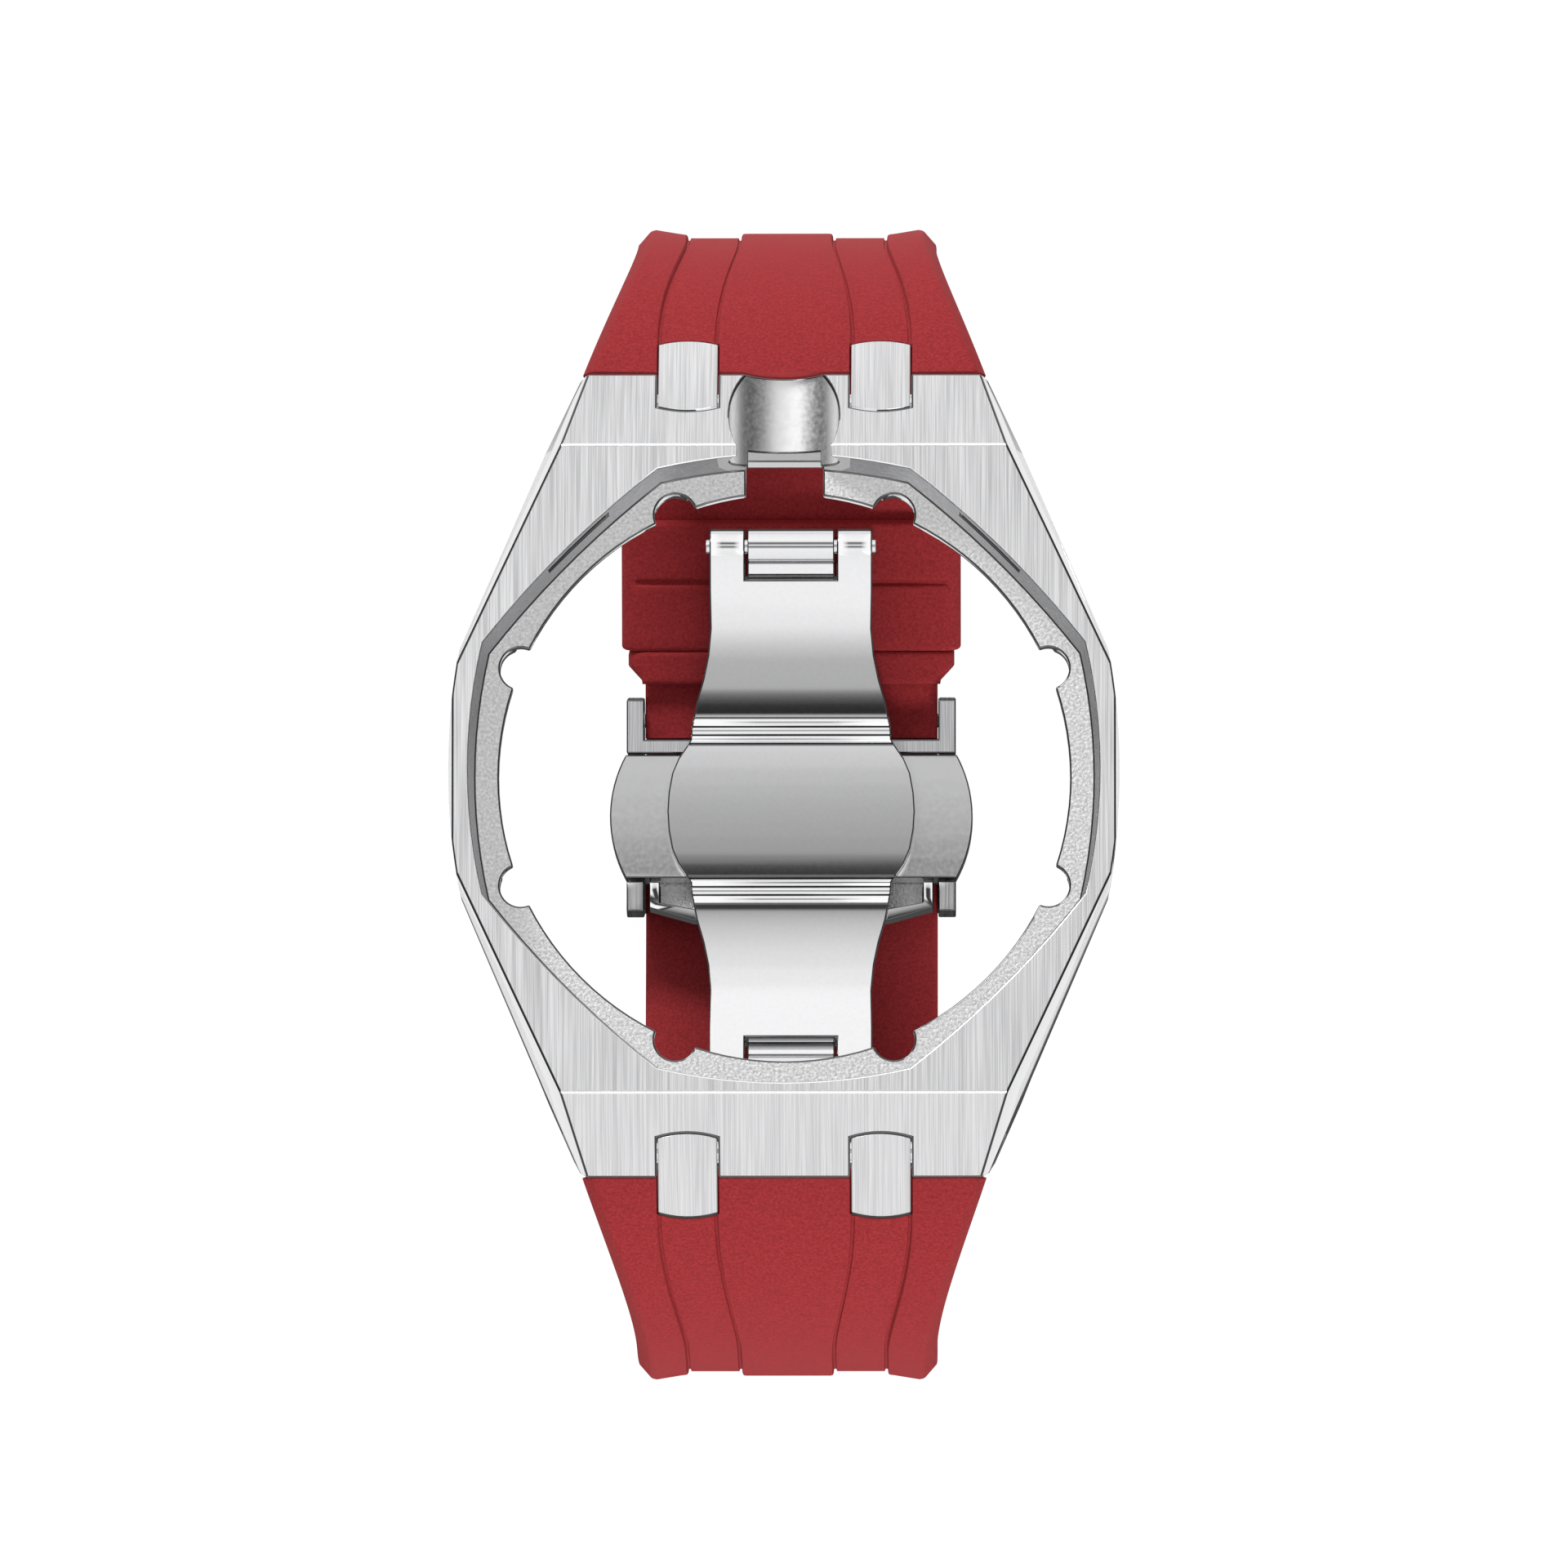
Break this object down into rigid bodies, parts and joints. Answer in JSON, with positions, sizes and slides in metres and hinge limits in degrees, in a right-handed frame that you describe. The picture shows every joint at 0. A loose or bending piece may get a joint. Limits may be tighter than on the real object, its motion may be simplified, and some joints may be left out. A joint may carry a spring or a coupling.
{
  "type": "watch case with strap",
  "caption": "Steel watch case with an empty octagonal pocket, link studs, a ridged rubber strap, keepers and a folding push-button clasp with a tang buckle.",
  "frame": {"origin": "middle of the ledge that the watch head sits on, at the ledge's front face", "axes": "+Z out of the dial, +Y towards 12 o'clock, +X towards 3 o'clock"},
  "size_m": [0.044, 0.0775, 0.0687],
  "materials": {
    "case_steel": "vertically brushed front, polished bevels, blasted ledge and crown channel",
    "link_steel": "brushed lengthwise",
    "bar_steel": "turned",
    "strap_rubber": "satin, finely grained",
    "clasp_polished": "polished",
    "clasp_brushed": "brushed",
    "spring_steel": "plain wire"
  },
  "bodies": {
    "case": {"case_body": "case_steel", "stud_12_left": "link_steel", "stud_12_right": "link_steel", "stud_6_left": "link_steel", "stud_6_right": "link_steel", "lug_bar_12": "bar_steel", "lug_bar_6": "bar_steel", "lug_screws": "bar_steel", "strap_12": "strap_rubber", "strap_6": "strap_rubber", "fixed_keeper": "strap_rubber", "spring_bar": "bar_steel", "lower_arm": "clasp_brushed", "lower_hinge_pin": "bar_steel", "clasp_cover": "clasp_polished", "spring_left": "spring_steel", "spring_right": "spring_steel", "buckle_frame": "clasp_brushed", "tang_bar": "bar_steel"},
    "plate": {"clasp_plate": "clasp_polished", "upper_hinge_pin": "bar_steel"},
    "arm": {"upper_arm": "clasp_brushed", "strap_bracket": "clasp_brushed"},
    "tang": {"tang": "clasp_polished"},
    "button_left": {"button_left": "clasp_polished"},
    "button_right": {"button_right": "clasp_polished"},
    "keeper": {"sliding_keeper": "strap_rubber"}
  },
  "joints": [
    {"name": "clasp_plate_hinge", "type": "hinge", "parent": "case", "child": "plate", "pos_m": [0, -0.01489, -0.05014], "axis": [1, 0, 0], "range_deg": [0, 100], "deforming": ["spring_bar"]},
    {"name": "upper_arm_hinge", "type": "hinge", "parent": "plate", "child": "arm", "pos_m": [0, 0.02109, -0.05014], "axis": [1, 0, 0], "range_deg": [0, 80]},
    {"name": "tang_hinge", "type": "hinge", "parent": "case", "child": "tang", "pos_m": [0, 0.00539, -0.05731], "axis": [1, 0, 0], "range_deg": [0, 18]},
    {"name": "button_left_press", "type": "slide", "parent": "case", "child": "button_left", "axis": [1, 0, 0], "range_m": [0, 0.0008], "stiffness_N_per_m": 1200, "springref_m": -0.0005, "deforming": ["spring_left"]},
    {"name": "button_right_press", "type": "slide", "parent": "case", "child": "button_right", "axis": [-1, 0, 0], "range_m": [0, 0.0008], "stiffness_N_per_m": 1200, "springref_m": -0.0005, "deforming": ["spring_right"]},
    {"name": "keeper_slide", "type": "hinge", "parent": "case", "child": "keeper", "pos_m": [0, 0.0031, 0.003], "axis": [1, 0, 0], "range_deg": [0, 5.5]}
  ],
  "couplings": [
    {"joint": "upper_arm_hinge", "follows": "clasp_plate_hinge", "ratio": 0.8}
  ]
}
